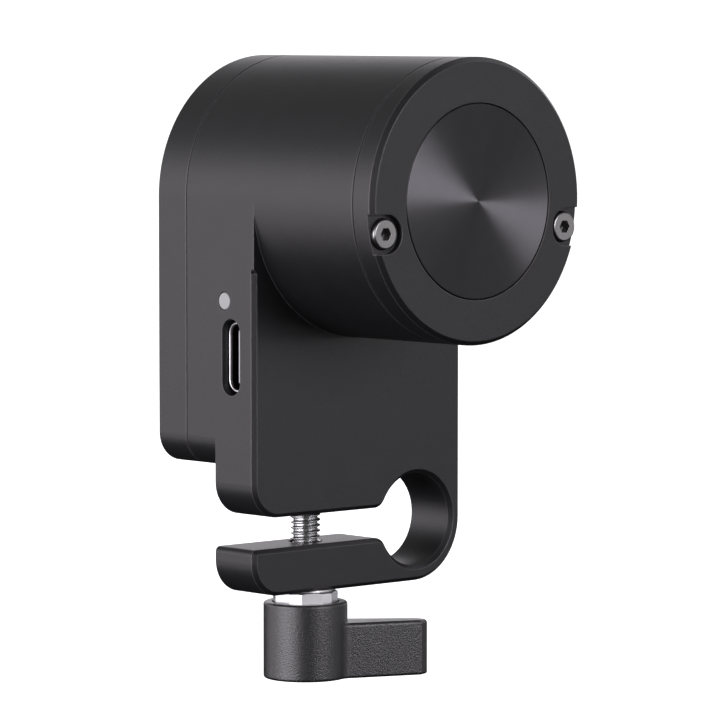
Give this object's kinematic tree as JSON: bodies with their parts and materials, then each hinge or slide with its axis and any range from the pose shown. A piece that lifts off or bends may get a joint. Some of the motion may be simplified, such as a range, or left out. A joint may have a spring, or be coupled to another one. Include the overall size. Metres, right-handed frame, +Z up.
{
  "type": "lens focus motor",
  "caption": "Compact lens focus motor: round motor barrel on a block with a split rod clamp, a side clamping lever, a USB-C socket and a rear drive gear.",
  "frame": {"origin": "middle of the rod bore, half way through the clamp", "axes": "+Y along the rod towards the drive gear, +Z up from the rod to the motor barrel, +X to the right seen from the barrel's end"},
  "size_m": [0.036, 0.0508, 0.0799],
  "materials": {
    "black_anodised": "fine bead-blasted black anodising",
    "spun_black": "black, finely turned in rings",
    "nickel_steel": "nickel-plated",
    "bright_steel": "bright plated",
    "spring_steel": "drawn wire",
    "clear_plastic": "milky clear",
    "pale_plastic": "moulded",
    "black_plastic": "moulded",
    "gold_contact": "gold-plated",
    "board_green": "solder mask",
    "ferrite": "sintered",
    "lead_sheath": "soft sheath",
    "lamination": "stacked laminations",
    "copper_winding": "enamelled copper",
    "ground_steel": "ground",
    "plain_aluminium": "machined",
    "textured_black": "coarse textured black coat on die-cast zinc"
  },
  "bodies": {
    "case": {"main_housing": "black_anodised", "rear_cover": "black_anodised", "end_cap": "black_anodised", "spun_disc": "spun_black", "end_cap_screws": "nickel_steel", "cover_screws": "nickel_steel", "board_screws": "nickel_steel", "usb_shell": "bright_steel", "light_pipe": "clear_plastic", "status_led": "clear_plastic", "usb_tongue": "pale_plastic", "controller_chip": "black_plastic", "driver_chip": "black_plastic", "encoder_chip": "black_plastic", "motor_connector": "black_plastic", "usb_contacts": "gold_contact", "control_board": "board_green", "encoder_board": "board_green", "power_inductor": "ferrite", "motor_leads": "lead_sheath", "stator_core": "lamination", "stator_windings": "copper_winding", "ring_gear": "ground_steel", "gearbox_dowels": "ground_steel", "motor_bearing_outer_races": "ground_steel", "output_bearing_outer_races": "ground_steel", "motor_bulkhead": "plain_aluminium"},
    "rotor": {"rotor_shaft": "ground_steel", "rotor_core": "lamination", "rotor_magnets": "ferrite", "sun_gear": "ground_steel", "encoder_magnet": "ferrite", "motor_bearing_inner_races": "ground_steel"},
    "output": {"planet_carrier": "ground_steel", "planet_pins": "ground_steel", "drive_gear": "black_plastic", "gear_washer": "bright_steel", "gear_screw": "nickel_steel", "output_bearing_inner_races": "ground_steel"},
    "planet_1": {"planet_gear_1": "ground_steel"},
    "planet_2": {"planet_gear_2": "ground_steel"},
    "planet_3": {"planet_gear_3": "ground_steel"},
    "clamp_washer": {"thrust_washer": "bright_steel"},
    "clamp_stud": {"clamp_screw": "bright_steel", "lever_screw": "nickel_steel", "lever_spring": "spring_steel"},
    "lever": {"clamp_lever": "textured_black"}
  },
  "joints": [
    {"name": "output_spin", "type": "hinge", "parent": "case", "child": "output", "pos_m": [-0.01008, 0, 0.0423], "axis": [0, 1, 0], "continuous": true},
    {"name": "rotor_spin", "type": "hinge", "parent": "case", "child": "rotor", "pos_m": [-0.01008, 0, 0.0423], "axis": [0, 1, 0], "continuous": true},
    {"name": "planet_1_spin", "type": "hinge", "parent": "output", "child": "planet_1", "pos_m": [-0.00257, 0, 0.0423], "axis": [0, 1, 0], "continuous": true},
    {"name": "planet_2_spin", "type": "hinge", "parent": "output", "child": "planet_2", "pos_m": [-0.01384, 0, 0.04881], "axis": [0, 1, 0], "continuous": true},
    {"name": "planet_3_spin", "type": "hinge", "parent": "output", "child": "planet_3", "pos_m": [-0.01384, 0, 0.03579], "axis": [0, 1, 0], "continuous": true},
    {"name": "clamp_advance", "type": "slide", "parent": "case", "child": "clamp_washer", "axis": [0, 0, 1], "range_m": [-0.0014, 0]},
    {"name": "clamp_turn", "type": "hinge", "parent": "clamp_washer", "child": "clamp_stud", "pos_m": [-0.01585, 0, 0], "axis": [0, 0, 1], "range_deg": [-720, 0]},
    {"name": "lever_pull", "type": "slide", "parent": "clamp_stud", "child": "lever", "axis": [0, 0, -1], "range_m": [0, 0.0016], "stiffness_N_per_m": 900, "springref_m": -0.002, "deforming": ["lever_spring"]}
  ],
  "couplings": [
    {"joint": "rotor_spin", "follows": "output_spin", "ratio": 5},
    {"joint": "planet_1_spin", "follows": "output_spin", "ratio": -2.6667},
    {"joint": "planet_2_spin", "follows": "output_spin", "ratio": -2.6667},
    {"joint": "planet_3_spin", "follows": "output_spin", "ratio": -2.6667},
    {"joint": "clamp_turn", "follows": "clamp_advance", "rad_per_m": 8976}
  ]
}
